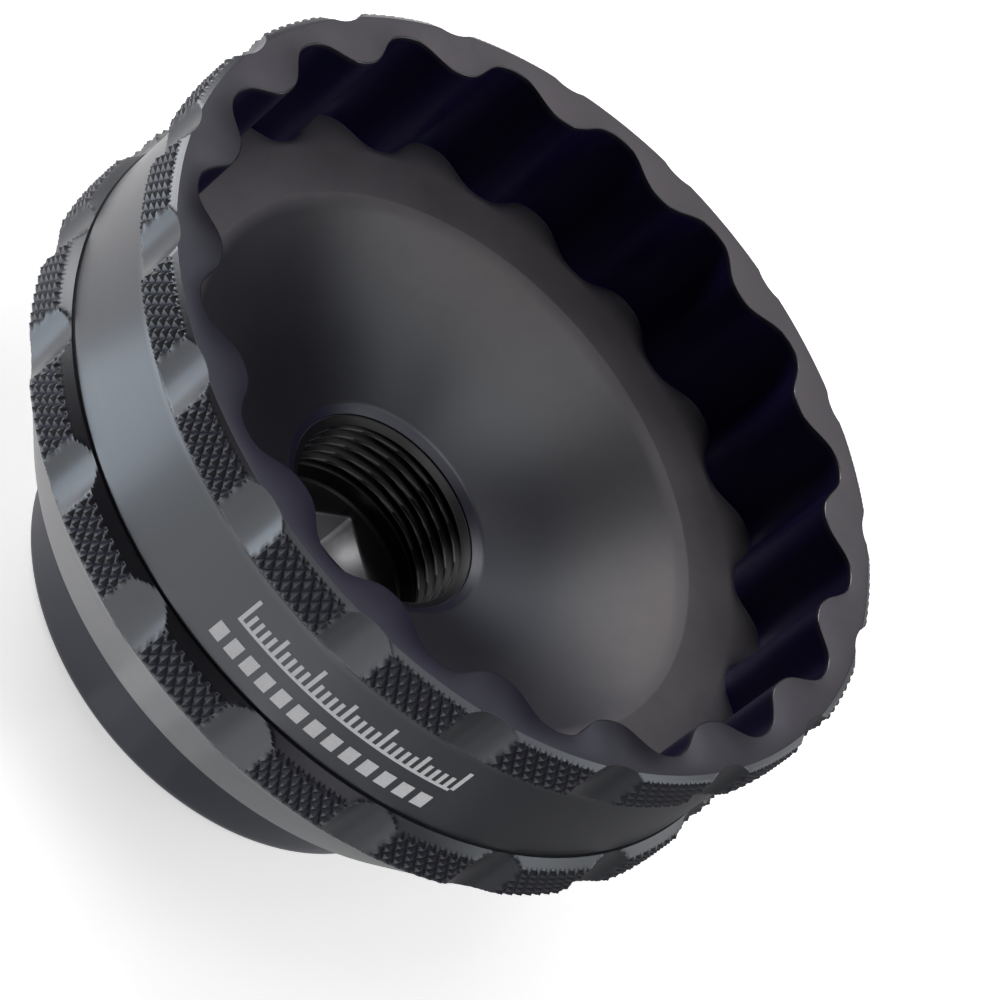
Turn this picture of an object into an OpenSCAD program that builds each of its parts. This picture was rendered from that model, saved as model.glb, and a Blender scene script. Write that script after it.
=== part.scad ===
// Splined bottom bracket cup socket with a hand-turned front head, mm.
// +Z runs along the tool axis with the splined mouth up, the rear face is at z = 0.

/* [Overall] */
// Length from the rear face to the front rim
total_len = 38.4; // [36:0.1:42]
// Outside radius of both grip rings
grip_r = 34.2; // [33.6:0.1:38]
// Radius of the smooth band between the grip rings
band_r = 33.0; // [32.6:0.05:33.05]
// Radius of the flat front rim at its outer edge
face_r = 33.4; // [33:0.1:34]

/* [Grip rings] */
// Axial width of the front grip ring above its rear chamfer
front_grip_len = 3.8; // [2:0.1:5]
// Height of the rear edge of the rear grip ring
rear_grip_z = 20.1; // [19.5:0.1:21.5]
// Number of finger scallops round each ring
scallop_count = 18; // [12:1:24]
// Radius of the cutter that leaves one scallop
scallop_cut_r = 3.7; // [2:0.05:5]
// Root radius of the scallops
scallop_root_r = 33.08; // [33.06:0.02:34]

/* [Splined mouth] */
// Number of spline notches
notch_count = 18; // [12:1:24]
// Radius at the bottom of a notch
notch_r = 31.7; // [30:0.1:32.4]
// Radius at the crest of a tooth
tooth_r = 29.2; // [27:0.1:30]
// Depth of the splined mouth
mouth_depth = 11.25; // [8:0.05:12]
// How square the spline wave is, 0 is a plain wave
wave_square = 0.28; // [0:0.01:0.45]

/* [Dish] */
// Radius where the dish starts on the mouth floor
dish_r = 24.2; // [20:0.05:27]
// Radius of the dish at the centre hole
hole_edge_r = 9.45; // [9.2:0.05:11]
// Height of the centre hole edge
hole_edge_z = 19.6; // [19.4:0.1:21]
// Radius of the centre hole below its chamfer
hole_r = 8.75; // [8.4:0.05:9.1]
// Change of the dish's slope per mm of radius, 0 is a plain cone
dish_bend = 0.0175; // [0:0.0025:0.02]

/* [Screw joint] */
// Radius of the head's spigot over its thread
spigot_r = 27.0; // [26.6:0.1:28]
// Height of the bottom of the spigot
spigot_z = 15.0; // [14.95:0.05:15.4]
// Height of the seam between the two halves
seam_z = 24.45; // [24:0.05:25]
// Gap between the halves that the seam washer fills
seam_gap = 0.2; // [0.2:0.05:0.6]

/* [Drive insert] */
// Outside radius of the insert barrel
insert_r = 12.0; // [11.8:0.1:12.6]
// Radius of the insert flange
flange_r = 16.2; // [15.6:0.1:17]
// Radius at the thread crests of the bore
bore_r = 8.0; // [7:0.05:8.3]
// Width across flats of the square drive
square_w = 9.53; // [6.35:0.01:10]

/* [Neck] */
// Radius of the rear neck
neck_r = 20.9; // [19:0.1:24]
// Height of the step between shoulder and neck
step_z = 10.9; // [8:0.1:12]
// Radius of the shoulder cone at the step
shoulder_r = 27.6; // [25:0.1:29]

/* [Hidden] */
$fn = 96;

// Rim, rings and seam
floor_z = total_len - mouth_depth;
front_z = total_len - front_grip_len;
rim_chamfer_len = 0.55;
hole_chamfer = 0.43;
ring_chamfer = grip_r - band_r;
cone_top_r = band_r + 0.1;
socket_seat_z = seam_z + seam_gap / 2;
hub_seat_z = seam_z - seam_gap / 2;
edge_break = 0.12;
overrun = 1;

// Spline wave and scallops
mid_r = (notch_r + tooth_r) / 2;
wave_h = (notch_r - tooth_r) / 2;
wave_steps = 14;
scallop_centre_r = scallop_root_r + scallop_cut_r;
scallop_faces = 48;

// Dish, whose slope grows evenly from the hole to the rim
dish_steps = 6;
dish_reach = dish_r - hole_edge_r;
dish_slope = (floor_z - hole_edge_z) / dish_reach;

// Screw joint, seal groove and seal
running_gap = 0.05;
end_gap = 0.1;
groove_r = 25.1;
groove_z = 21.4;
groove_len = 2.0;
seal_ring_r = 26.05;
seal_bar_r = 0.93;
spigot_chamfer = 0.5;
mouth_chamfer = 0.4;

// Insert
web_gap = 0.05;
barrel_gap = 0.1;
press_gap = 0.02;
insert_top_z = 19.05;
insert_rear_z = 0.6;
insert_foot_r = insert_r - 0.5;
bore_lead_r = 0.65;
bore_lead_len = 0.4;
bore_floor_z = 10.65;
flange_z = 12.9;
flange_top_z = 14.85;
recess_r = 15.0;
recess_z = 2.4;
recess_chamfer = 0.4;

// Neck
neck_chamfer = 0.8;
neck_fillet = 1.0;
shoulder_break = 0.3;

// Square drive and its ball recesses
square_turn = 45;
recess_ball_r = 1.6;
recess_ball_z = 4.6;
recess_ball_in = 0.5;
recess_ball_len = 1.2;

// Key pins
pin_r = 1.2;
pin_fit = 0.01;
pin_pitch_r = 14.1;
pin_z = 9.0;
pin_chamfer = 0.3;
pin_turn = 30;
pin_step = 120;
pin_faces = 32;

// Retaining ring
ring_groove_r = 11.2;
ring_z = 1.3;
ring_t = 1.0;
ring_outer_r = 13.2;
ring_side_gap = 0.05;
ear_r = 1.5;
ear_pitch_r = 13.0;
ear_turn = 16;
eye_r = 0.7;
eye_pitch_r = 13.1;
mouth_reach = 20;
mouth_half = 3.6;

// Seam washer
washer_inset = 0.15;
washer_clear = 0.02;
washer_bore_gap = 0.15;

function wave(a) = let (c = cos(a * notch_count)) c * (1 + wave_square * (1 - c * c));
function wave_pt(a) = let (r = mid_r + wave_h * wave(a)) [r * cos(a), r * sin(a)];

function dish_z(run) = hole_edge_z + dish_slope * run + dish_bend / 2 * run * (run - dish_reach);
function dish_pt(t) = [hole_edge_r + dish_reach * t, dish_z(dish_reach * t)];

// Outline of the splined mouth, a notch lies on +X.
module spline_outline() {
  n = notch_count * wave_steps;
  polygon([for (i = [0:n - 1]) wave_pt(i * 360 / n)]);
}

// Finger scallops, set half way between the notches.
module scallop_cuts(z0, z1) {
  for (i = [0:scallop_count - 1])
    rotate([0, 0, (i + 0.5) * 360 / scallop_count])
      translate([scallop_centre_r, 0, z0])
        cylinder(r = scallop_cut_r, h = z1 - z0, $fn = scallop_faces);
}

// Front half: splined mouth, dish, front grip ring, band and threaded spigot.
module splined_socket() {
  color([0.12, 0.12, 0.13])
  difference() {
    rotate_extrude()
      polygon([
        [insert_r + barrel_gap, spigot_z],
        [spigot_r - spigot_chamfer, spigot_z],
        [spigot_r, spigot_z + spigot_chamfer],
        [spigot_r, groove_z],
        [groove_r, groove_z],
        [groove_r, groove_z + groove_len],
        [spigot_r, groove_z + groove_len],
        [spigot_r, socket_seat_z],
        [band_r - edge_break, socket_seat_z],
        [band_r, socket_seat_z + edge_break],
        [band_r, front_z - ring_chamfer],
        [grip_r, front_z],
        [grip_r, total_len - rim_chamfer_len],
        [face_r, total_len],
        [dish_r, total_len],
        for (i = [dish_steps:-1:0]) dish_pt(i / dish_steps),
        [hole_r, hole_edge_z - hole_chamfer],
        [hole_r, insert_top_z + web_gap],
        [insert_r + barrel_gap, insert_top_z + web_gap]
      ]);
    translate([0, 0, floor_z])
      linear_extrude(height = mouth_depth + overrun)
        spline_outline();
    scallop_cuts(front_z - ring_chamfer, total_len + overrun);
  }
}

// Rear half: rear grip ring, shoulder and neck, bored for the insert.
module drive_hub() {
  color([0.11, 0.11, 0.12])
  difference() {
    rotate_extrude()
      polygon([
        [insert_r + press_gap, recess_z],
        [recess_r, recess_z],
        [recess_r, recess_chamfer],
        [recess_r + recess_chamfer, 0],
        [neck_r - neck_chamfer, 0],
        [neck_r, neck_chamfer],
        [neck_r, step_z - neck_fillet],
        [neck_r + neck_fillet, step_z],
        [shoulder_r - shoulder_break, step_z],
        [shoulder_r, step_z + shoulder_break],
        [cone_top_r, rear_grip_z - (grip_r - cone_top_r)],
        [grip_r, rear_grip_z],
        [grip_r, hub_seat_z - (grip_r - cone_top_r)],
        [cone_top_r, hub_seat_z],
        [spigot_r + running_gap + mouth_chamfer, hub_seat_z],
        [spigot_r + running_gap, hub_seat_z - mouth_chamfer],
        [spigot_r + running_gap, spigot_z - end_gap],
        [flange_r + running_gap, spigot_z - end_gap],
        [flange_r + running_gap, flange_z],
        [insert_r + press_gap, flange_z]
      ]);
    scallop_cuts(rear_grip_z - ring_chamfer - overrun, hub_seat_z + overrun);
    for (i = [0:2])
      rotate([0, 0, i * pin_step + pin_turn])
        translate([pin_pitch_r, 0, pin_z - end_gap])
          cylinder(r = pin_r + pin_fit, h = flange_z - pin_z + overrun, $fn = pin_faces);
  }
}

// Steel insert: threaded bore at the front, square drive at the rear.
module drive_insert() {
  color([0.20, 0.20, 0.21])
  difference() {
    rotate_extrude()
      polygon([
        [0, insert_rear_z],
        [insert_foot_r, insert_rear_z],
        [insert_foot_r, ring_z - ring_side_gap],
        [ring_groove_r, ring_z - ring_side_gap],
        [ring_groove_r, recess_z - ring_side_gap],
        [insert_r, recess_z - ring_side_gap],
        [insert_r, flange_z],
        [flange_r, flange_z],
        [flange_r, flange_top_z],
        [insert_r, flange_top_z],
        [insert_r, insert_top_z],
        [bore_r + bore_lead_r, insert_top_z],
        [bore_r, insert_top_z - bore_lead_len],
        [bore_r, bore_floor_z],
        [0, bore_floor_z]
      ]);
    rotate([0, 0, square_turn])
      translate([-square_w / 2, -square_w / 2, -overrun])
        cube([square_w, square_w, bore_floor_z + 2 * overrun]);
    for (i = [0:3])
      rotate([0, 0, i * 90 + square_turn])
        translate([square_w / 2 - recess_ball_in, 0, recess_ball_z])
          rotate([0, 90, 0])
            cylinder(r = recess_ball_r, h = recess_ball_len, $fn = pin_faces);
    for (i = [0:2])
      rotate([0, 0, i * pin_step + pin_turn])
        translate([pin_pitch_r, 0, flange_z - overrun])
          cylinder(r = pin_r + pin_fit, h = flange_top_z - flange_z + 2 * overrun, $fn = pin_faces);
  }
}

// One dowel that keys the insert flange to the hub.
module key_pin(i) {
  pin_len = flange_top_z - pin_z;
  color([0.62, 0.62, 0.64])
  rotate([0, 0, i * pin_step + pin_turn])
    translate([pin_pitch_r, 0, pin_z]) {
      translate([0, 0, pin_chamfer])
        cylinder(r = pin_r, h = pin_len - 2 * pin_chamfer, $fn = pin_faces);
      cylinder(r1 = pin_r - pin_chamfer, r2 = pin_r, h = pin_chamfer, $fn = pin_faces);
      translate([0, 0, pin_len - pin_chamfer])
        cylinder(r1 = pin_r, r2 = pin_r - pin_chamfer, h = pin_chamfer, $fn = pin_faces);
    }
}

module key_pin_1() {
  key_pin(0);
}

module key_pin_2() {
  key_pin(1);
}

module key_pin_3() {
  key_pin(2);
}

// Open retaining ring with two plier eyes, in the groove of the insert.
module retaining_ring() {
  color([0.30, 0.30, 0.32])
  translate([0, 0, ring_z])
    difference() {
      union() {
        difference() {
          cylinder(r = ring_outer_r, h = ring_t);
          translate([0, 0, -overrun])
            cylinder(r = ring_groove_r + ring_side_gap, h = ring_t + 2 * overrun);
          translate([0, 0, -overrun])
            linear_extrude(height = ring_t + 2 * overrun)
              polygon([[0, 0], [mouth_reach, -mouth_half], [mouth_reach, mouth_half]]);
        }
        for (s = [-1, 1])
          rotate([0, 0, s * ear_turn])
            translate([ear_pitch_r, 0, 0])
              cylinder(r = ear_r, h = ring_t, $fn = pin_faces);
      }
      for (s = [-1, 1])
        rotate([0, 0, s * ear_turn])
          translate([eye_pitch_r, 0, -overrun])
            cylinder(r = eye_r, h = ring_t + 2 * overrun, $fn = pin_faces);
    }
}

// Thin flat washer that fills the seam between the two halves.
module seam_washer() {
  color([0.05, 0.05, 0.05])
  translate([0, 0, hub_seat_z + washer_clear])
    difference() {
      cylinder(r = band_r - washer_inset, h = seam_gap - 2 * washer_clear);
      translate([0, 0, -overrun])
        cylinder(r = spigot_r + washer_bore_gap, h = seam_gap + 2 * overrun);
    }
}

// Round rubber ring in the groove of the spigot.
module spigot_seal() {
  color([0.03, 0.03, 0.03])
  rotate_extrude()
    translate([seal_ring_r, groove_z + groove_len / 2])
      circle(r = seal_bar_r, $fn = pin_faces);
}

splined_socket();
drive_hub();
drive_insert();
key_pin_1();
key_pin_2();
key_pin_3();
retaining_ring();
seam_washer();
spigot_seal();
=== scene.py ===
"""The looks of the splined bottom bracket cup socket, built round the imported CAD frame.

Lengths are written in millimetres and turned into metres once, in MM.
"""
import math

import bpy
import numpy as np
from mathutils import Matrix, Vector


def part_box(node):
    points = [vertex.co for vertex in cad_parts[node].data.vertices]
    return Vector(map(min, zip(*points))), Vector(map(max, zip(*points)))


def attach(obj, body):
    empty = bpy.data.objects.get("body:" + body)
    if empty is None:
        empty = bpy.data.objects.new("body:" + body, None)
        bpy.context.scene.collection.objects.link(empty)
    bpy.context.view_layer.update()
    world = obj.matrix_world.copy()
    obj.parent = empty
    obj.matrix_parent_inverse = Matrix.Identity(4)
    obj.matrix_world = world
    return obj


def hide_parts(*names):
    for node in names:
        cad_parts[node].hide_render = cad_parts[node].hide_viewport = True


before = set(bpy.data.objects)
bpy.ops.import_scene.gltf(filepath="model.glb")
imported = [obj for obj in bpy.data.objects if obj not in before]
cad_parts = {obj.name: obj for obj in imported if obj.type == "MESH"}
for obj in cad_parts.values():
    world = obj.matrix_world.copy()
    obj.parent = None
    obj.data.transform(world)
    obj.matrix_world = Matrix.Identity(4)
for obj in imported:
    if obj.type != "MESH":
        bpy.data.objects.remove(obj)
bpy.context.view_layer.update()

MM = 0.001
TURN = 2 * math.pi

# ---- sizes taken from the frame, mm ----
socket_lo, socket_hi = (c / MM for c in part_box("splined_socket"))
insert_lo, insert_hi = (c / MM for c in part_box("drive_insert"))
hub_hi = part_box("drive_hub")[1] / MM
washer_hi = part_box("seam_washer")[1] / MM
TOP = socket_hi.z
GRIP_R = round(socket_hi.x, 2) - 0.01  # the crests stay inside the faceted CAD box
SPIGOT_Z = socket_lo.z
HUB_SEAT = hub_hi.z
SOCKET_SEAT = washer_hi.z + 0.02
FLANGE_R = insert_hi.x
INSERT_TOP = insert_hi.z
INSERT_REAR = insert_lo.z

# ---- sizes of the design, mm ----
BAND_R = 33.0
FACE_R = 33.4
RIM_CHAMFER = 0.55
FRONT_GRIP = 3.8
REAR_GRIP_Z = 20.1
RING_FOOT_R = 33.1
SCALLOP_CUT_R = 3.7
SCALLOP_ROOT_R = 33.08
NO_CUT = 1000.0
NOTCHES = 18
NOTCH_R = 31.7
TOOTH_R = 29.2
MOUTH_DEPTH = 11.25
WAVE_SQUARE = 0.28
DISH_R = 24.2
HOLE_EDGE_R = 9.45
HOLE_EDGE_Z = 19.6
HOLE_R = 8.75
HOLE_CHAMFER = 0.43
DISH_BEND = 0.0175
FLOOR_FLAT_R = 28.6
SPIGOT_R = 27.0
SPIGOT_ROUND = 0.4
SEAL_FLOOR_R = 25.1
JOINT_PITCH = 1.5
JOINT_THREAD = 0.8
JOINT_GAP = 0.12
JOINT_FIT = 0.05
JOINT_STEPS = 10
INSERT_R = 12.0
INSERT_FIT = 0.02
INSERT_TAIL_R = 11.5
BORE_R = 8.0
BORE_PITCH = 1.17
BORE_THREAD = 0.62
BORE_STEPS = 14
THREAD_Z = 12.3
BORE_FLOOR = 10.65
FLANGE_Z = 12.9
FLANGE_TOP = 14.85
GROOVE_Z = 21.4
GROOVE_LEN = 2.0
RING_GROOVE_R = 11.2
RING_GROOVE_LOW = 1.25
RING_GROOVE_HIGH = 2.35
RECESS_R = 15.0
RECESS_DEPTH = 2.4
SQUARE_W = 9.53
SQUARE_CORNER_R = 6.6
NECK_R = 20.9
STEP_Z = 10.9
SHOULDER_R = 27.6
FLOOR_Z = TOP - MOUTH_DEPTH

# ---- view, degrees and mm ----
VIEW_AZIMUTH = -11.303
VIEW_ELEVATION = 38.076
VIEW_ROLL = 51.287
VIEW_LENS = 198
VIEW_SENSOR = 36
VIEW_DISTANCE = 429.82
VIEW_SHIFT = 8.107
VIEW_AIM_Z = 20.79

# ---- knurl and mesh steps, mm ----
EVEN_STEPS = 360
SECTOR_STEPS = 80
KNURL_CELLS = 216
KNURL_RISE = 1.6
KNURL_DEPTH = 0.36
KNURL_STEPS = 8
KNURL_FLAT = 0.95

# ---- wear and painted light: above 0 is paler, for rubbed wear and painted highlights; below 0 is painted shade in a dark violet; angles in degrees ----
BURNISHED = 1.3
# Painted light on the rim face: paler on one side, painted shade on the other.
FACE_PAINTED_LIGHT = 0.6
FACE_PAINTED_LIGHT_SWING = 1.05
FACE_PAINTED_LIGHT_AT = 80
# Painted highlights on the dish: paler towards its rim and on two patches.
DISH_HIGHLIGHT_START_R = 14.0
DISH_PAINTED_HIGHLIGHT = 0.3
DISH_HIGHLIGHT_PATCHES = ((10, 1.5), (108, 1.2))
DISH_HIGHLIGHT_POWER = 8
# Painted shade on the hole's chamfer and wall.
CHAMFER_SHADE = -0.5
# Painted shade on the rear face and on the neck under the shoulder.
NECK_SHADE = -0.4
# Painted shade on the steel insert: its reflection is turned down.
STEEL_SHADE = -0.3
SQUARE_WEAR = 0.65
# Painted shade in the thread flanks and roots.
THREAD_SHADE = -0.85
# Knurl crests: rubbed wear and a painted highlight. Knurl grooves: painted shade.
KNURL_CREST_WEAR_AND_HIGHLIGHT = 0.9
KNURL_GROOVE_SHADE = -0.55

# ---- etched mark on the band, degrees and mm ----
MARK_START = 258.5
MARK_STOP = 294.5
TICK_STEP = 1.2
TICK_HALF_W = 0.17
LINE_LOW = 29.0
LINE_HIGH = 29.3
DASH_START = 257.3
DASH_STEP = 2.9
DASH_SPAN = 1.9
DASH_LOW = 26.1
DASH_HIGH = 27.7
DASHES = 13

# ---- colours ----
BLACK = (0.0130, 0.0122, 0.0175)
# Painted shade colour, a dark violet, for recesses, grooves, threads and the neck.
SHADE_VIOLET = (0.006, 0.003, 0.030)
# Paler colour for rubbed wear and for painted highlights.
WORN_AND_HIGHLIGHT = (0.078, 0.074, 0.085)
SHEEN = (0.86, 0.93, 1.0)
WORN_SHEEN = (1.0, 0.97, 0.95)
OXIDE = (0.007, 0.007, 0.009)
BARE_STEEL = (0.45, 0.45, 0.47)
ETCHED_DARK = (0.50, 0.51, 0.53)
ETCHED_PALE = (0.72, 0.73, 0.75)
WHITE = (1, 1, 1)

# ---- fine relief of the finishes, m ----
TOOL_MARK = 0.00001
RUBBER_GRAIN = 0.00003

# ---- studio: angles in degrees, places in mm, sizes of softboxes and the hole lamp in m ----
FLOOR_GLOW = 0.6
FLOOR_DROP = 0.05
FLOOR_PALE = (0.9, 0.9, 0.9)
BOX_SIZE = 0.3
BOX_DISTANCE = 0.6
BOX_AIM = (0, 0, 0.02)
COOL = (0.90, 0.95, 1.0)
NEUTRAL = (1.0, 1.0, 1.0)
VIOLET = (0.95, 0.90, 1.0)
WARM = (1.0, 0.96, 0.94)
ROSE = (1.0, 0.93, 0.98)
BLUE = (0.78, 0.90, 1.0)
# Azimuth, elevation, radiance, tint. Azimuth 0 is -Y and 90 is +X.
SOFTBOXES = (
    (240, 30, 7.0, WARM), (90, 30, 2.2, NEUTRAL), (120, 8, 1.5, NEUTRAL), (180, 54, 1.5, VIOLET),
    (0, 82, 2.0, WARM), (45, 54, 1.3, ROSE), (90, 54, 1.2, NEUTRAL), (210, 30, 0.75, COOL),
)
# The panel near the floor: azimuth, distance, size, radiance, tint.
PANEL = (300, 65, (30, 40), 1.9, BLUE)
# The small lamp inside the square hole.
HOLE_LAMP = 5.0
HOLE_LAMP_SIZE = (0.0016, 0.0026)
HOLE_LAMP_PLACE = (-2.2, 4.1, 6.2)
HOLE_LAMP_BACK = (-1.0, -0.2, -0.1)
# Dark cards over the floor that paint shade into its reflections: inner and outer radius, then the azimuths
# where each radiance starts.
CARDS = (
    (21.5, 34, ((-20, 0.95), (-12, 0.8), (-4, 0.62), (6, 0.5),
                (140, 0.6), (150, 0.8), (160, 1.0), (170, None))),
    (34, 95, ((8, 0.85), (16, 0.6), (32, 0.38), (50, 0.2), (140, 0.45), (155, 0.8), (170, None))),
    (95, 300, ((-25, 0.5), (-15, 0.05), (140, 0.45), (155, 0.8), (170, None))),
)
CARD_STEP = 3


# ---------------------------------------------------------------- columns round the axis
def scallop_half_angle():
    """Half the angle that a scallop takes out of the grip radius."""
    c = SCALLOP_ROOT_R + SCALLOP_CUT_R
    cos = (GRIP_R**2 + c**2 - SCALLOP_CUT_R**2) / (2 * GRIP_R * c)
    return math.acos(cos)


def grip_columns():
    """Angles of the mesh columns: even steps of the knurl on each land and across each scallop."""
    sector = TURN / NOTCHES
    edge = sector / 2 - scallop_half_angle()
    step = TURN / KNURL_CELLS / KNURL_STEPS
    count = int(edge / step)
    land = np.arange(-count, count + 1) * step
    inner = SECTOR_STEPS - len(land) - 2
    valley = np.linspace(edge, sector - edge, inner + 2)[1:-1]
    one = np.concatenate([[-edge], land, [edge], valley])
    return np.concatenate([one + i * sector for i in range(NOTCHES)])


COLUMNS = grip_columns()
EVEN_COLUMNS = np.linspace(0, TURN, EVEN_STEPS, endpoint=False)


# ---------------------------------------------------------------- surface rules
def saw(t):
    """A wave from 0 at whole numbers to 1 half way between them."""
    return 1 - np.abs(2 * (t % 1) - 1)


def knurl(a, z):
    """Height of the diamond knurl, 0 in a groove and 1 on a flat."""
    u = a * KNURL_CELLS / TURN
    w = z / KNURL_RISE
    return np.clip(np.minimum(saw(u + w), saw(u - w)) / KNURL_FLAT, 0, 1)


def scallop_r(a):
    """Radius of the scallop cutter's path at each angle, NO_CUT on the lands."""
    sector = TURN / NOTCHES
    phi = (a % sector) - sector / 2
    c = SCALLOP_ROOT_R + SCALLOP_CUT_R
    inside = SCALLOP_CUT_R**2 - (c * np.sin(phi)) ** 2
    return np.where(inside > 0, c * np.cos(phi) - np.sqrt(np.maximum(inside, 0)), NO_CUT)


def spline_r(a, grow=0.0):
    """Radius of the splined mouth at each angle."""
    c = np.cos(a * NOTCHES)
    wave = c * (1 + WAVE_SQUARE * (1 - c * c))
    return (NOTCH_R + TOOTH_R) / 2 + (NOTCH_R - TOOTH_R) / 2 * wave + grow


def dish_z(r):
    """Height of the dish: its slope grows evenly from the hole to the rim."""
    reach = DISH_R - HOLE_EDGE_R
    run = r - HOLE_EDGE_R
    mean = (FLOOR_Z - HOLE_EDGE_Z) / reach
    return HOLE_EDGE_Z + mean * run + DISH_BEND / 2 * run * (run - reach)


def lobe(a, degrees):
    """A bump round the axis, 1 at the given angle and 0 a quarter turn away."""
    return np.maximum(0, np.cos(a - math.radians(degrees))) ** DISH_HIGHLIGHT_POWER


def dish_painted_highlight(r):
    """The dish is painted paler and made more matt towards its rim, most of all on two patches: painted
    highlights.
    """
    ramp = max(0, (r - DISH_HIGHLIGHT_START_R) / (DISH_R - DISH_HIGHLIGHT_START_R))
    (angle_1, highlight_1), (angle_2, highlight_2) = DISH_HIGHLIGHT_PATCHES
    return lambda a: ramp * (DISH_PAINTED_HIGHLIGHT + highlight_1 * lobe(a, angle_1) + highlight_2 * lobe(a, angle_2))


def face_painted_light(a):
    """The rim face is painted paler on one side and darker on the other: painted light and painted shade
    across the face.
    """
    return FACE_PAINTED_LIGHT + FACE_PAINTED_LIGHT_SWING * np.cos(a - math.radians(FACE_PAINTED_LIGHT_AT))


def thread(a, z, pitch, crest=0.14, root=0.14):
    """Groove depth of a right-hand thread from 0 on a crest to 1 in a root."""
    t = saw(z / pitch - a / TURN)
    return np.clip((t - crest) / (1 - crest - root), 0, 1)


def square_r(a):
    """Radius of the square drive hole, with its corners on the row axes."""
    side = np.maximum(np.abs(np.cos(a + TURN / 8)), np.abs(np.sin(a + TURN / 8)))
    return np.minimum(SQUARE_W / 2 / side, SQUARE_CORNER_R)


# ---------------------------------------------------------------- mesh code
def rounded(points, steps=3):
    """A profile of (radius, height, fillet) points as a finer one, with an arc at each filleted corner."""
    out = []
    for i, (r, z, fillet) in enumerate(points):
        here = np.array([r, z], float)
        if not fillet or i in (0, len(points) - 1):
            out.append((r, z))
            continue
        before = np.array(points[i - 1][:2], float) - here
        after = np.array(points[i + 1][:2], float) - here
        reach = min(fillet, np.linalg.norm(before) * 0.45, np.linalg.norm(after) * 0.45)
        p = here + before / np.linalg.norm(before) * reach
        q = here + after / np.linalg.norm(after) * reach
        for t in np.linspace(0, 1, steps + 1):
            mid = (1 - t) ** 2 * p + 2 * t * (1 - t) * here + t**2 * q
            out.append((mid[0], mid[1]))
    return out


def ring(columns, radius, height, stride=1, wear_and_painted_light=0.0):
    """One ring of points: radius and wear_and_painted_light (rubbed wear, painted highlights and painted
    shade) are numbers, or rules of the angles.
    """
    a = columns[::stride]
    r = radius(a) if callable(radius) else np.full(len(a), float(radius))
    w = wear_and_painted_light(a) if callable(wear_and_painted_light) else np.full(len(a), float(wear_and_painted_light))
    return {"a": a, "r": r, "z": np.full(len(a), float(height)), "wear_and_painted_light": w}


def link(first, second, base_a, base_b, quads, tris, ngons):
    """Faces between two rings. A ring of fewer columns meets a finer one in polygons."""
    na, nb = len(first["a"]), len(second["a"])
    if na == nb:
        j = np.arange(na)
        k = (j + 1) % na
        quad = np.stack([base_a + j, base_a + k, base_b + k, base_b + j], 1)
        if not (first.get("knurled") and second.get("knurled")):
            quads.append(quad)
            return
        one = first["r"] + np.roll(second["r"], -1)
        two = np.roll(first["r"], -1) + second["r"]
        low = one < two
        tris.append(quad[low][:, [0, 1, 2]])
        tris.append(quad[low][:, [0, 2, 3]])
        tris.append(quad[~low][:, [0, 1, 3]])
        tris.append(quad[~low][:, [1, 2, 3]])
        return
    if na > nb:
        ratio = na // nb
        for j in range(nb):
            fine = [base_a + (j * ratio + i) % na for i in range(ratio + 1)]
            ngons.append(fine + [base_b + (j + 1) % nb, base_b + j])
    else:
        ratio = nb // na
        for j in range(na):
            fine = [base_b + (j * ratio + i) % nb for i in range(ratio + 1)]
            ngons.append([base_a + j, base_a + (j + 1) % na] + fine[::-1])


def add_object(name, data):
    """A new object in the scene."""
    obj = bpy.data.objects.new(name, data)
    bpy.context.scene.collection.objects.link(obj)
    return obj


def lathe(name, rings, crease=32):
    """A closed solid from a loop of rings, going up the outside first, with wear and painted light on its
    points: rubbed wear, painted highlights and painted shade.
    """
    starts = []
    points = []
    wear_and_painted_light = []
    total = 0
    for g in rings:
        starts.append(total)
        total += len(g["a"])
        points.append(np.stack([g["r"] * np.cos(g["a"]), g["r"] * np.sin(g["a"]), g["z"]], 1))
        wear_and_painted_light.append(g["wear_and_painted_light"])
    quads = []
    tris = []
    ngons = []
    for i, g in enumerate(rings):
        n = (i + 1) % len(rings)
        link(g, rings[n], starts[i], starts[n], quads, tris, ngons)
    faces = [f for block in quads for f in block.tolist()]
    faces += [f for block in tris for f in block.tolist()]
    faces += ngons
    mesh = bpy.data.meshes.new(name)
    mesh.from_pydata((np.concatenate(points) * MM).tolist(), [], faces)
    mesh.validate()
    attribute = mesh.attributes.new("wear_and_painted_light", "FLOAT", "POINT")
    attribute.data.foreach_set("value", np.concatenate(wear_and_painted_light).astype(np.float32))
    mesh.polygons.foreach_set("use_smooth", np.ones(len(mesh.polygons), bool))
    mesh.set_sharp_from_angle(angle=math.radians(crease))
    mesh.update()
    return add_object(name, mesh)


def plain(columns, profile, stride=4, wear_and_painted_light=0.0):
    """Rings of a turned stretch with nothing cut in it."""
    return [ring(columns, r, z, stride, wear_and_painted_light) for r, z in rounded(profile)]


def threaded(columns, radius, z0, z1, pitch, depth, per_turn, stride=4, crest_wear_and_highlight=0.0, root_z=None):
    """Rings of a threaded stretch: depth is the change of radius from a crest to a root.

    The thread runs out to its crest at both ends, or to its root at the end named by root_z.
    """
    count = int(round(abs(z1 - z0) / pitch * per_turn))
    rings = []
    for z in np.linspace(z0, z1, count + 1):
        fade = np.clip(min(abs(z - z0), abs(z - z1)) / (0.2 * pitch), 0, 1)
        to_root = root_z is not None and abs(z - root_z) < 0.5 * abs(z1 - z0)

        def radius_at(a, z=z, fade=fade, to_root=to_root):
            cut = thread(a, z, pitch)
            cut = 1 - fade * (1 - cut) if to_root else fade * cut
            return radius + depth * cut

        # Crests get crest wear, rubbed paler with a painted highlight; flanks and roots get painted shade.
        def wear_and_painted_light_at(a, z=z):
            return np.where(thread(a, z, pitch) < 0.05, crest_wear_and_highlight, THREAD_SHADE)

        rings.append(ring(columns, radius_at, z, stride, wear_and_painted_light_at))
    return rings


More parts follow.
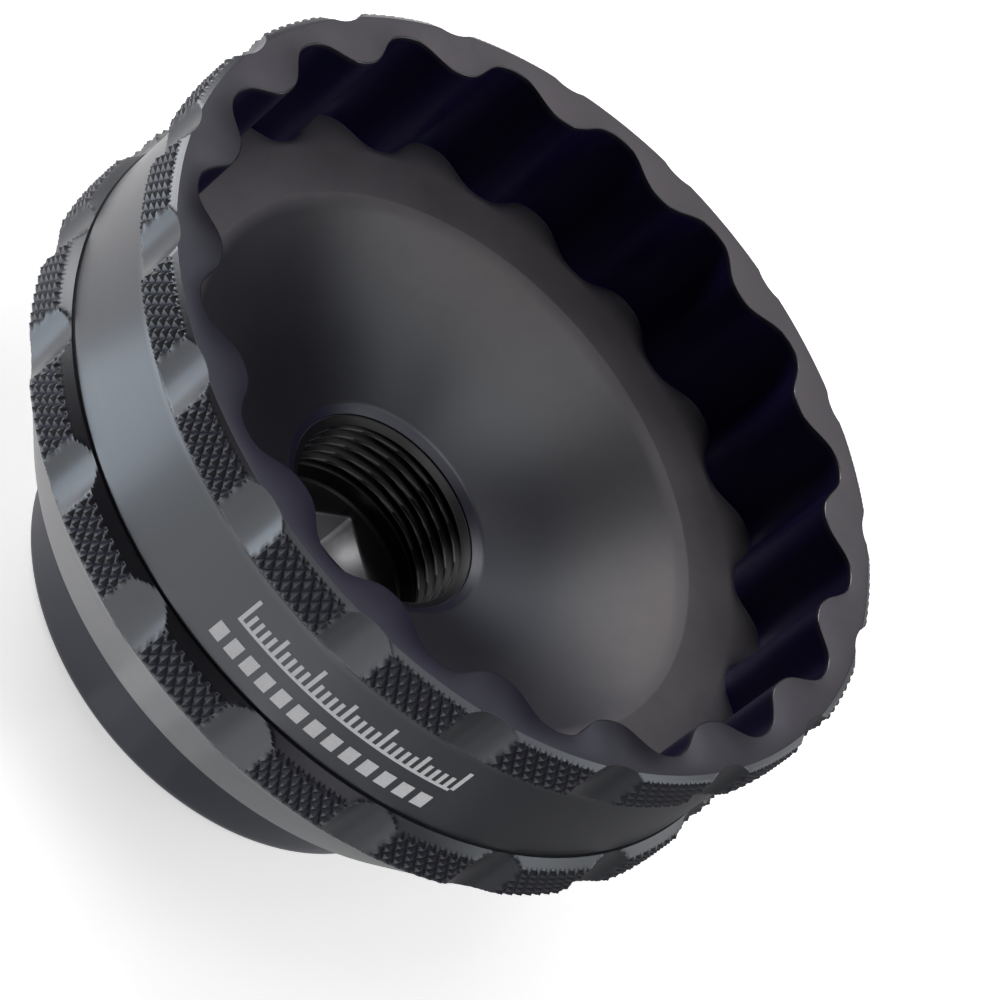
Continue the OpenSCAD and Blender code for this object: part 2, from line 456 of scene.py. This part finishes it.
def grip_rings(profile):
    """Rings of a knurled grip ring: the profile is cut by the knurl and then by the scallops."""
    rings = []
    for r, z in profile:
        def radius_at(a, r=r, z=z):
            knurled = np.minimum(r, GRIP_R - KNURL_DEPTH * (1 - knurl(a, z)))
            return np.minimum(knurled, scallop_r(a))

        # Knurl crests on the lands: rubbed paler with a painted highlight; knurl grooves: painted shade.
        def wear_and_painted_light_at(a, r=r, z=z):
            height = knurl(a, z)
            cut = (scallop_r(a) > GRIP_R) & (GRIP_R - KNURL_DEPTH * (1 - height) <= r)
            return np.where(cut & (r > GRIP_R - 0.01), KNURL_CREST_WEAR_AND_HIGHLIGHT * height + KNURL_GROOVE_SHADE, 0.0)

        g = ring(COLUMNS, radius_at, z, 1, wear_and_painted_light_at)
        g["knurled"] = True
        rings.append(g)
    return rings


def grip_profile(foot_r, land_0, land_1, end_z, end_r):
    """(radius, height) points up a grip ring: rear chamfer, knurled land, front chamfer."""
    foot_z = land_0 - (GRIP_R - foot_r)
    points = [(foot_r + (GRIP_R - foot_r) * t, foot_z + (land_0 - foot_z) * t) for t in np.linspace(0, 1, 7)]
    rise = KNURL_RISE / KNURL_STEPS
    heights = np.arange(math.ceil(land_0 / rise), math.floor(land_1 / rise) + 1) * rise
    points += [(GRIP_R, z) for z in heights if land_0 + 0.03 < z < land_1 - 0.03]
    points += [(GRIP_R + (end_r - GRIP_R) * t, land_1 + (end_z - land_1) * t) for t in np.linspace(0, 1, 7)]
    return points


# ---------------------------------------------------------------- pieces
def make_socket():
    """Front half: toothed mouth, dish, front grip ring, band and threaded spigot."""
    land = TOP - FRONT_GRIP
    foot = land - (GRIP_R - BAND_R)
    start_r = SPIGOT_R - JOINT_THREAD - JOINT_FIT
    start_z = SPIGOT_Z + 0.8
    rings = plain(COLUMNS, [
        (start_r - SPIGOT_ROUND, SPIGOT_Z, 0), (start_r, SPIGOT_Z + SPIGOT_ROUND, 0.1),
        (start_r, start_z - 0.1, 0),
    ])
    rings += threaded(COLUMNS, SPIGOT_R, start_z, GROOVE_Z - 0.6, JOINT_PITCH, -JOINT_THREAD,
                      JOINT_STEPS, root_z=start_z)
    rings += plain(COLUMNS, [
        (SPIGOT_R, GROOVE_Z - 0.45, 0), (SPIGOT_R, GROOVE_Z, 0.1), (SEAL_FLOOR_R, GROOVE_Z, 0.15),
        (SEAL_FLOOR_R, GROOVE_Z + GROOVE_LEN, 0.15), (SPIGOT_R, GROOVE_Z + GROOVE_LEN, 0.1),
        (SPIGOT_R, SOCKET_SEAT, 0.15), (BAND_R - 0.12, SOCKET_SEAT, 0.05), (BAND_R, SOCKET_SEAT + 0.12, 0.08),
        (BAND_R, SOCKET_SEAT + 0.8, 0),
    ])
    rings += plain(COLUMNS, [(BAND_R, foot - 0.6, 0), (BAND_R, foot - 0.05, 0)], 1)
    rings += grip_rings(grip_profile(BAND_R + 0.02, land, TOP - RIM_CHAMFER, TOP, FACE_R))

    def face_r(a, inset):
        return np.minimum(FACE_R, scallop_r(a)) - inset

    rings.append(ring(COLUMNS, lambda a: face_r(a, 0.12), TOP, 1, face_painted_light))
    edge = 0.16
    rings.append(ring(COLUMNS, lambda a: spline_r(a, edge), TOP, 2, face_painted_light))
    for t in (0.35, 0.7, 1.0):
        grow = edge * (1 - math.sin(t * math.pi / 2))
        drop = edge * (1 - math.cos(t * math.pi / 2))
        rings.append(ring(COLUMNS, lambda a, g=grow: spline_r(a, g), TOP - drop, 2, 0.0))
    # The walls of the toothed mouth carry -1: painted shade in a dark violet.
    for z in np.linspace(TOP - 0.5, FLOOR_Z + 0.2, 8):
        rings.append(ring(COLUMNS, spline_r, z, 2, -1))
    rings.append(ring(COLUMNS, lambda a: spline_r(a, -0.05), FLOOR_Z + 0.05, 2, -1))
    rings.append(ring(COLUMNS, lambda a: spline_r(a, -0.2), FLOOR_Z, 2))
    rings += plain(COLUMNS, [
        (FLOOR_FLAT_R, FLOOR_Z, 0), (DISH_R + 0.3, FLOOR_Z, 0), (DISH_R + 0.2, FLOOR_Z, 0),
        (DISH_R + 0.06, FLOOR_Z - 0.01, 0),
    ], wear_and_painted_light=BURNISHED)
    bowl = np.linspace(DISH_R, HOLE_EDGE_R, 16)[1:-1]
    rings += [ring(COLUMNS, r, dish_z(r), 4, dish_painted_highlight(r)) for r in bowl]
    lip_r = HOLE_EDGE_R + 0.3
    rings += plain(COLUMNS, [(lip_r, dish_z(lip_r), 0), (HOLE_EDGE_R, HOLE_EDGE_Z, 0)])
    # The hole's chamfer and wall get painted shade.
    rings += plain(COLUMNS, [
        (HOLE_EDGE_R - 0.03, HOLE_EDGE_Z - 0.02, 0),
        (HOLE_R, HOLE_EDGE_Z - HOLE_CHAMFER, 0.06), (HOLE_R, INSERT_TOP + 0.05, 0),
        (INSERT_R + 0.1, INSERT_TOP + 0.05, 0), (INSERT_R + 0.1, SPIGOT_Z, 0),
    ], wear_and_painted_light=CHAMFER_SHADE)
    return lathe("socket_head", rings)


def make_hub():
    """Rear half: grip ring, shoulder cone, neck, and the counterbore for the head and the insert."""
    joint_r = SPIGOT_R + JOINT_FIT
    bore_r = INSERT_R + INSERT_FIT
    seat_r = FLANGE_R + JOINT_FIT
    chamfer = GRIP_R - RING_FOOT_R
    # The rear face and the neck get painted shade, the neck lying under the shoulder.
    rings = plain(COLUMNS, [
        (RECESS_R + 0.4, 0, 0), (NECK_R - 0.8, 0, 0.15), (NECK_R, 0.8, 0.3), (NECK_R, STEP_Z - 1.1, 0),
    ], wear_and_painted_light=NECK_SHADE)
    rings += plain(COLUMNS, [
        (NECK_R, STEP_Z - 1.05, 0), (NECK_R, STEP_Z - 1, 0.5),
        (NECK_R + 1, STEP_Z, 0.5), (SHOULDER_R - 0.3, STEP_Z, 0.12), (SHOULDER_R, STEP_Z + 0.3, 0.2),
        (RING_FOOT_R - 0.4, REAR_GRIP_Z - chamfer - 0.56, 0),
    ])
    rings += grip_rings(grip_profile(RING_FOOT_R, REAR_GRIP_Z, HUB_SEAT - chamfer, HUB_SEAT, RING_FOOT_R))
    rings += plain(COLUMNS, [
        (BAND_R - 0.2, HUB_SEAT, 0), (SPIGOT_R + 0.45, HUB_SEAT, 0.1), (joint_r, HUB_SEAT - 0.4, 0.1),
        (joint_r, GROOVE_Z - 0.4, 0), (SPIGOT_R + JOINT_GAP, GROOVE_Z - 0.5, 0),
    ])
    rings += threaded(COLUMNS, SPIGOT_R + JOINT_GAP, GROOVE_Z - 0.6, SPIGOT_Z + 0.3, JOINT_PITCH,
                      -JOINT_THREAD, JOINT_STEPS)
    rings += plain(COLUMNS, [
        (SPIGOT_R + JOINT_GAP, SPIGOT_Z + 0.15, 0), (joint_r, SPIGOT_Z - 0.1, 0),
        (seat_r, SPIGOT_Z - 0.1, 0), (seat_r, FLANGE_Z, 0), (bore_r, FLANGE_Z, 0),
        (bore_r, RECESS_DEPTH, 0.1), (RECESS_R, RECESS_DEPTH, 0.1), (RECESS_R, 0.4, 0.1),
    ])
    return lathe("hub_body", rings)


def square_wall(z, dimple_z=4.6, dimple_r=1.6, dimple_depth=0.6):
    """Radius rule of the square hole at a height, with the ball recess in each flat."""
    def rule(a):
        along = SQUARE_W / 2 * np.tan((a % (TURN / 4)) - TURN / 8)
        off = (along**2 + (z - dimple_z) ** 2) / dimple_r**2
        return square_r(a) + dimple_depth * np.sqrt(np.clip(1 - off, 0, 1))
    return rule


def make_insert():
    """Steel insert: threaded bore and square drive, with its flange."""
    c = EVEN_COLUMNS
    # Painted shade on the insert's outside and bore: its reflection is turned down.
    rings = plain(c, [
        (INSERT_TAIL_R - 0.4, INSERT_REAR, 0), (INSERT_TAIL_R, INSERT_REAR + 0.35, 0.1),
        (INSERT_TAIL_R, RING_GROOVE_LOW, 0), (RING_GROOVE_R, RING_GROOVE_LOW, 0),
        (RING_GROOVE_R, RING_GROOVE_HIGH, 0), (INSERT_R, RING_GROOVE_HIGH, 0.05), (INSERT_R, FLANGE_Z, 0),
        (FLANGE_R, FLANGE_Z, 0.2), (FLANGE_R, FLANGE_TOP, 0.2), (INSERT_R, FLANGE_TOP, 0),
        (INSERT_R, INSERT_TOP, 0.25), (BORE_R + 0.65, INSERT_TOP, 0.04),
        (BORE_R + 0.06, INSERT_TOP - 0.38, 0),
    ], stride=1, wear_and_painted_light=STEEL_SHADE)
    rings += threaded(c, BORE_R, INSERT_TOP - 0.4, THREAD_Z, BORE_PITCH, BORE_THREAD, BORE_STEPS,
                      stride=1, crest_wear_and_highlight=0.3)
    rings += plain(c, [
        (BORE_R, THREAD_Z - 0.05, 0), (BORE_R, BORE_FLOOR + 0.25, 0.1), (BORE_R - 0.25, BORE_FLOOR, 0),
    ], stride=1, wear_and_painted_light=STEEL_SHADE)
    rings.append(ring(c, lambda a: square_r(a) + 0.3, BORE_FLOOR, 1, STEEL_SHADE))
    for z in np.linspace(BORE_FLOOR - 0.15, INSERT_REAR + 0.4, 26):
        rings.append(ring(c, square_wall(z), z, 1, SQUARE_WEAR))
    rings.append(ring(c, lambda a: square_r(a) + 0.4, INSERT_REAR, 1, 1.0))
    return lathe("insert_bush", rings)


def plate(a0, a1, z0, z1, radius, lift=0.02, sink=0.05):
    """Corners and faces of one thin curved plate on the band, for the etched mark."""
    n = max(1, int(math.degrees(a1 - a0) / 0.6))
    points = []
    faces = []
    for a in np.linspace(a0, a1, n + 1):
        for r, z in ((radius - sink, z0), (radius + lift, z0), (radius + lift, z1), (radius - sink, z1)):
            points.append((r * math.cos(a), r * math.sin(a), z))
    for i in range(n):
        b = 4 * i
        for k in range(4):
            m = (k + 1) % 4
            faces.append((b + k, b + k + 4, b + m + 4, b + m))
    faces.append((0, 1, 2, 3))
    faces.append((4 * n + 3, 4 * n + 2, 4 * n + 1, 4 * n))
    return points, faces


def make_mark():
    """A generic etched scale on the band: a line with ticks of three lengths and a row of small dashes."""
    start = math.radians(MARK_START)
    stop = math.radians(MARK_STOP)
    step = math.radians(TICK_STEP)
    half = TICK_HALF_W / BAND_R
    parts = [plate(start, stop, LINE_LOW, LINE_HIGH, BAND_R)]
    count = int((stop - start) / step) + 1
    for i in range(count):
        a = start + i * step
        tall = 2.5 if i % 10 == 0 else 2.0 if i % 5 == 0 else 1.3
        parts.append(plate(a, a + 2 * half, LINE_HIGH, LINE_HIGH + tall, BAND_R))
    for i in range(DASHES):
        a = math.radians(DASH_START + DASH_STEP * i)
        parts.append(plate(a, a + math.radians(DASH_SPAN), DASH_LOW, DASH_HIGH, BAND_R))
    points = []
    faces = []
    for p, f in parts:
        base = len(points)
        points += p
        faces += [[base + v for v in face] for face in f]
    mesh = bpy.data.meshes.new("band_scale")
    mesh.from_pydata([Vector(p) * MM for p in points], [], faces)
    mesh.validate()
    mesh.update()
    return add_object("band_scale", mesh)


# ---------------------------------------------------------------- materials
class Nodes:
    """A short way to write a node material."""

    def __init__(self, name):
        self.material = bpy.data.materials.new(name)
        self.material.use_nodes = True
        self.tree = self.material.node_tree
        self.shader = self.tree.nodes["Principled BSDF"]

    def add(self, kind, **settings):
        node = self.tree.nodes.new(kind)
        for key, value in settings.items():
            setattr(node, key, value)
        return node

    def link(self, source, target):
        self.tree.links.new(source, target)

    def put(self, **values):
        """Sets or links sockets of the shader; an underscore in a name stands for a space."""
        for key, value in values.items():
            socket = self.shader.inputs[key.replace("_", " ")]
            if isinstance(value, (int, float)):
                socket.default_value = value
            elif isinstance(value, tuple):
                socket.default_value = (*value, 1)
            else:
                self.link(value, socket)

    def relief(self, height, strength, distance=TOOL_MARK):
        """Fine relief on the surface, from a height of 0..1."""
        node = self.add("ShaderNodeBump")
        node.inputs["Strength"].default_value = strength
        node.inputs["Distance"].default_value = distance
        self.link(height, node.inputs["Height"])
        self.put(Normal=node.outputs[0])

    def math(self, operation, a, b=None, clamp=False):
        node = self.add("ShaderNodeMath", operation=operation, use_clamp=clamp)
        for socket, value in zip(node.inputs, (a, b)):
            if value is None:
                continue
            if isinstance(value, (int, float)):
                socket.default_value = value
            else:
                self.link(value, socket)
        return node.outputs[0]

    def noise(self, vector, scale, detail=3.0, rough=0.5):
        node = self.add("ShaderNodeTexNoise")
        node.inputs["Scale"].default_value = scale
        node.inputs["Detail"].default_value = detail
        node.inputs["Roughness"].default_value = rough
        self.link(vector, node.inputs["Vector"])
        return node.outputs["Fac"]

    def mix(self, factor, a, b):
        node = self.add("ShaderNodeMix", data_type="RGBA")
        self.link(factor, node.inputs["Factor"])
        for key, value in (("A", a), ("B", b)):
            socket = [s for s in node.inputs if s.name == key and s.type == "RGBA"][0]
            if isinstance(value, tuple):
                socket.default_value = (*value, 1)
            else:
                self.link(value, socket)
        return [s for s in node.outputs if s.type == "RGBA"][0]

    def span(self, value, low, high):
        """value from 0..1 stretched to low..high"""
        node = self.add("ShaderNodeMapRange")
        self.link(value, node.inputs["Value"])
        node.inputs["To Min"].default_value = low
        node.inputs["To Max"].default_value = high
        return node.outputs["Result"]


def turned_coordinates(n):
    """Object coordinates, and coordinates that run along and across the lathe's tool marks."""
    place = n.add("ShaderNodeTexCoord").outputs["Object"]
    split = n.add("ShaderNodeSeparateXYZ")
    n.link(place, split.inputs[0])
    x, y, z = split.outputs
    radius = n.math("SQRT", n.math("ADD", n.math("MULTIPLY", x, x), n.math("MULTIPLY", y, y)))
    angle = n.math("ARCTAN2", y, x)
    join = n.add("ShaderNodeCombineXYZ")
    n.link(radius, join.inputs[0])
    n.link(z, join.inputs[1])
    n.link(n.math("MULTIPLY", angle, 0.0006), join.inputs[2])
    return place, join.outputs[0]


def worn_and_lit_patches(n, spots, low):
    """The wear and painted light attribute, and its paler part (rubbed wear and painted highlights) broken up
    by the spots.
    """
    wear_and_painted_light = n.add("ShaderNodeAttribute", attribute_name="wear_and_painted_light").outputs["Fac"]
    return wear_and_painted_light, n.math("MULTIPLY", wear_and_painted_light, n.span(spots, low, 1.0), clamp=True)


def below_zero(n, wear_and_painted_light):
    """The part of the wear and painted light attribute below 0, as a factor: the painted shade."""
    return n.math("MULTIPLY", wear_and_painted_light, -1.0, clamp=True)


def anodised(name, base, worn, rough, marks=0.35):
    """Dyed anodised aluminium over a turned surface: fine tool marks, matt grain, paler worn edges and
    painted highlights, and below 0 a painted shade in dark violet with less reflection.
    """
    n = Nodes(name)
    place, turned = turned_coordinates(n)
    cloud = n.noise(place, 90, 4, 0.6)
    grain = n.noise(place, 2600, 2, 0.6)
    lines = n.noise(turned, 5200, 3, 0.65)
    wear_and_painted_light, worn_and_lit = worn_and_lit_patches(n, n.noise(place, 420, 3, 0.7), 0.5)
    painted_shade = below_zero(n, wear_and_painted_light)
    colour = n.mix(cloud, tuple(c * 0.82 for c in base), base)
    gloss = n.math("ADD", n.span(cloud, rough - 0.03, rough + 0.03), n.span(lines, -0.04, 0.04))
    matt = n.math("MULTIPLY", wear_and_painted_light, 0.15, clamp=True)
    # Base colour: paler for rubbed wear and painted highlights, dark violet painted shade below 0.
    n.put(
        Base_Color=n.mix(worn_and_lit, n.mix(painted_shade, colour, SHADE_VIOLET), worn),
        Roughness=n.math("ADD", gloss, n.math("ADD", matt, n.math("MULTIPLY", painted_shade, 0.12))),
        Specular_IOR_Level=n.math("SUBTRACT", 0.5, n.math("MULTIPLY", painted_shade, 0.36)),
        Specular_Tint=n.mix(worn_and_lit, SHEEN, WORN_SHEEN),
        IOR=1.78,
    )
    n.relief(n.math("ADD", n.math("MULTIPLY", lines, 0.8), n.math("MULTIPLY", grain, 0.5)), marks)
    return n.material


def steel(name, base, bare, rough, scale=3600):
    """Blackened or ground steel with turning lines and bare metal where it is worn."""
    n = Nodes(name)
    place, turned = turned_coordinates(n)
    lines = n.noise(turned, scale, 3, 0.6)
    stain = n.noise(place, 240, 4, 0.65)
    _, worn_and_lit = worn_and_lit_patches(n, stain, 0.25)
    n.put(
        Base_Color=n.mix(worn_and_lit, n.mix(stain, tuple(c * 0.75 for c in base), base), bare),
        Roughness=n.math("ADD", n.span(stain, rough - 0.05, rough + 0.05), n.span(lines, -0.05, 0.05)),
        Metallic=1.0,
    )
    n.relief(lines, 0.3)
    return n.material


def oxide(name, base, bare, rough):
    """Black oxide steel: a dark satin skin that shows bare metal where it is worn through and, on the thread
    crests, as a painted highlight; below 0 its reflection is turned down as painted shade.
    """
    n = Nodes(name)
    place, turned = turned_coordinates(n)
    lines = n.noise(turned, 4200, 3, 0.6)
    stain = n.noise(place, 500, 4, 0.7)
    wear_and_painted_light, worn_and_lit = worn_and_lit_patches(n, stain, 0.4)
    painted_shade = below_zero(n, wear_and_painted_light)
    n.put(
        Base_Color=n.mix(worn_and_lit, n.mix(stain, tuple(c * 0.6 for c in base), base), bare),
        # Painted shade below 0: less reflection.
        Specular_IOR_Level=n.math("SUBTRACT", 0.5, n.math("MULTIPLY", painted_shade, 0.4)),
        Roughness=n.math("ADD", n.span(stain, rough - 0.05, rough + 0.05), n.span(lines, -0.05, 0.05)),
        Metallic=worn_and_lit,
    )
    n.relief(lines, 0.3)
    return n.material


def soft_black(name, base, rough, scale, ior=1.5):
    """Rubber or matt polymer with a fine grain."""
    n = Nodes(name)
    place = n.add("ShaderNodeTexCoord").outputs["Object"]
    grain = n.noise(place, scale, 3, 0.6)
    cloud = n.noise(place, 150, 3, 0.5)
    n.put(
        Base_Color=n.mix(cloud, tuple(c * 0.7 for c in base), base),
        Roughness=n.span(grain, rough - 0.08, rough + 0.08),
        IOR=ior,
    )
    n.relief(grain, 0.25, RUBBER_GRAIN)
    return n.material


def etched(name):
    """Pale laser-etched oxide, with the speckle of the scan lines."""
    n = Nodes(name)
    place = n.add("ShaderNodeTexCoord").outputs["Object"]
    speckle = n.noise(place, 5000, 2, 0.7)
    n.put(
        Base_Color=n.mix(speckle, ETCHED_DARK, ETCHED_PALE),
        Roughness=n.span(speckle, 0.6, 0.85),
    )
    return n.material


def finish_node(node, material):
    """Gives a CAD node its material."""
    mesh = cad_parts[node].data
    mesh.materials.clear()
    mesh.materials.append(material)


# ---------------------------------------------------------------- build
socket_head = make_socket()
hub_body = make_hub()
insert_bush = make_insert()
band_scale = make_mark()

socket_head.data.materials.append(anodised("anodised_head", BLACK, WORN_AND_HIGHLIGHT, 0.32))
hub_body.data.materials.append(anodised("anodised_hub", BLACK, WORN_AND_HIGHLIGHT, 0.32))
insert_bush.data.materials.append(oxide("black_oxide", OXIDE, BARE_STEEL, 0.34))
band_scale.data.materials.append(etched("etched_mark"))

for piece, body, nodes, slot in (
    (socket_head, "head", ["splined_socket"], "black_anodised_head"),
    (hub_body, "hub", ["drive_hub"], "black_anodised_hub"),
    (insert_bush, "hub", ["drive_insert"], "black_oxide_steel"),
    (band_scale, "head", [], "black_anodised_head"),
):
    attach(piece, body)
    if nodes:
        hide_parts(*nodes)

pin_steel = steel("pin_ground_steel", (0.5, 0.5, 0.52), (0.6, 0.6, 0.62), 0.22)
for pin in ("key_pin_1", "key_pin_2", "key_pin_3"):
    finish_node(pin, pin_steel)
finish_node("retaining_ring", steel("spring_steel", (0.16, 0.16, 0.17), (0.4, 0.4, 0.4), 0.34))
finish_node("seam_washer", soft_black("washer_polymer", (0.014, 0.014, 0.016), 0.36, 1800, 1.9))
finish_node("spigot_seal", soft_black("seal_rubber", (0.015, 0.015, 0.016), 0.5, 1400))


# ---------------------------------------------------------------- floor, light, camera
def make_floor(size=1.6):
    """A plain pale floor under the object."""
    mesh = bpy.data.meshes.new("floor")
    s = size / 2
    z = -FLOOR_DROP * MM
    mesh.from_pydata([(-s, -s, z), (s, -s, z), (s, s, z), (-s, s, z)], [], [(0, 1, 2, 3)])
    n = Nodes("pale_floor")
    n.put(Base_Color=FLOOR_PALE, Roughness=0.9, Emission_Color=WHITE, Emission_Strength=FLOOR_GLOW)
    mesh.materials.append(n.material)
    add_object("floor", mesh)


def towards(azimuth, elevation):
    """Unit vector from the object towards a direction in degrees. Azimuth 0 is -Y and 90 is +X."""
    a = math.radians(azimuth)
    e = math.radians(elevation)
    return Vector((math.sin(a) * math.cos(e), -math.cos(a) * math.cos(e), math.sin(e)))


def area_light(name, size, radiance, tint):
    """A rectangular area light of an even radiance, its size in m."""
    data = bpy.data.lights.new(name, "AREA")
    data.shape = "RECTANGLE"
    data.size, data.size_y = size
    data.energy = radiance * math.pi * size[0] * size[1]
    data.color = tint
    return add_object(name, data)


def aim_back(obj, back):
    """Turns a light so that it shines away from the direction back."""
    obj.rotation_euler = back.to_track_quat("Z", "Y").to_euler()


def softbox(name, azimuth, elevation, radiance, tint):
    """A square area light that looks at the object from a direction."""
    obj = area_light(name, (BOX_SIZE, BOX_SIZE), radiance, tint)
    back = towards(azimuth, elevation)
    obj.location = Vector(BOX_AIM) + back * BOX_DISTANCE
    aim_back(obj, back)


def make_hole_lamp():
    """A small lamp that puts a glint in the square hole."""
    obj = area_light("hole_lamp", HOLE_LAMP_SIZE, HOLE_LAMP, WHITE)
    obj.location = Vector(HOLE_LAMP_PLACE) * MM
    aim_back(obj, Vector(HOLE_LAMP_BACK))
    obj.visible_camera = False


def low_panel(name, azimuth, radius, size, radiance, tint, height=2.0):
    """A bright panel just above the floor that shines up at the object, mm."""
    obj = area_light(name, [v * MM for v in size], radiance, tint)
    t = math.radians(azimuth)
    obj.location = Vector((math.sin(t) * radius, -math.cos(t) * radius, height)) * MM
    obj.rotation_euler = (math.pi, 0, t)
    obj.visible_camera = False


def make_card(name, r0, r1, az0, az1, glow, height=0.3):
    """A dark card near the floor that only the reflections see, glowing dimmer than the floor: painted shade
    in the floor's reflections. Part of a ring round the tool's axis, mm.
    """
    count = max(2, int(abs(az1 - az0) / CARD_STEP))
    points = []
    for t in np.linspace(math.radians(az0), math.radians(az1), count + 1):
        for r in (r0, r1):
            points.append((r * math.sin(t) * MM, -r * math.cos(t) * MM, height * MM))
    faces = [(2 * i, 2 * i + 1, 2 * i + 3, 2 * i + 2) for i in range(count)]
    mesh = bpy.data.meshes.new(name)
    mesh.from_pydata(points, [], faces)
    mesh.update()
    n = Nodes(name)
    n.put(
        Base_Color=(0, 0, 0), Roughness=1.0, Specular_IOR_Level=0.0,
        Emission_Color=WHITE, Emission_Strength=glow,
    )
    mesh.materials.append(n.material)
    obj = add_object(name, mesh)
    obj.visible_camera = False
    obj.visible_diffuse = False
    obj.visible_shadow = False


def make_camera():
    """The view of the object. The tool's axis leans across the picture, so the camera is rolled."""
    roll = math.radians(VIEW_ROLL)
    a = math.radians(VIEW_AZIMUTH)
    back = towards(VIEW_AZIMUTH, VIEW_ELEVATION)
    level = Vector((math.cos(a), math.sin(a), 0))
    right = level * math.cos(roll) + back.cross(level) * math.sin(roll)
    data = bpy.data.cameras.new("camera")
    data.lens = VIEW_LENS
    data.sensor_width = VIEW_SENSOR
    data.clip_start = 0.01
    obj = add_object("camera", data)
    place = (Vector((0, 0, VIEW_AIM_Z)) + back * VIEW_DISTANCE + right * VIEW_SHIFT) * MM
    axes = Matrix((right, back.cross(right), back)).transposed()
    obj.matrix_world = Matrix.Translation(place) @ axes.to_4x4()
    bpy.context.scene.camera = obj


make_floor()
make_camera()
for i, (azimuth, elevation, radiance, tint) in enumerate(SOFTBOXES):
    softbox(f"softbox_{i}", azimuth, elevation, radiance, tint)
low_panel("floor_panel", *PANEL)
make_hole_lamp()
for i, (inner, outer, steps) in enumerate(CARDS):
    for (az0, glow), (az1, _) in zip(steps, steps[1:]):
        make_card(f"dark_card_{i}_{az0 % 360}", inner, outer, az0, az1, glow)

world = bpy.data.worlds.new("studio")
world.use_nodes = True
world.node_tree.nodes["Background"].inputs["Color"].default_value = (1, 1, 1, 1)
world.node_tree.nodes["Background"].inputs["Strength"].default_value = 1.0
bpy.context.scene.world = world
for rays in ("glossy", "diffuse", "transmission", "scatter"):
    setattr(world.cycles_visibility, rays, False)
bpy.context.scene.view_settings.view_transform = "Standard"
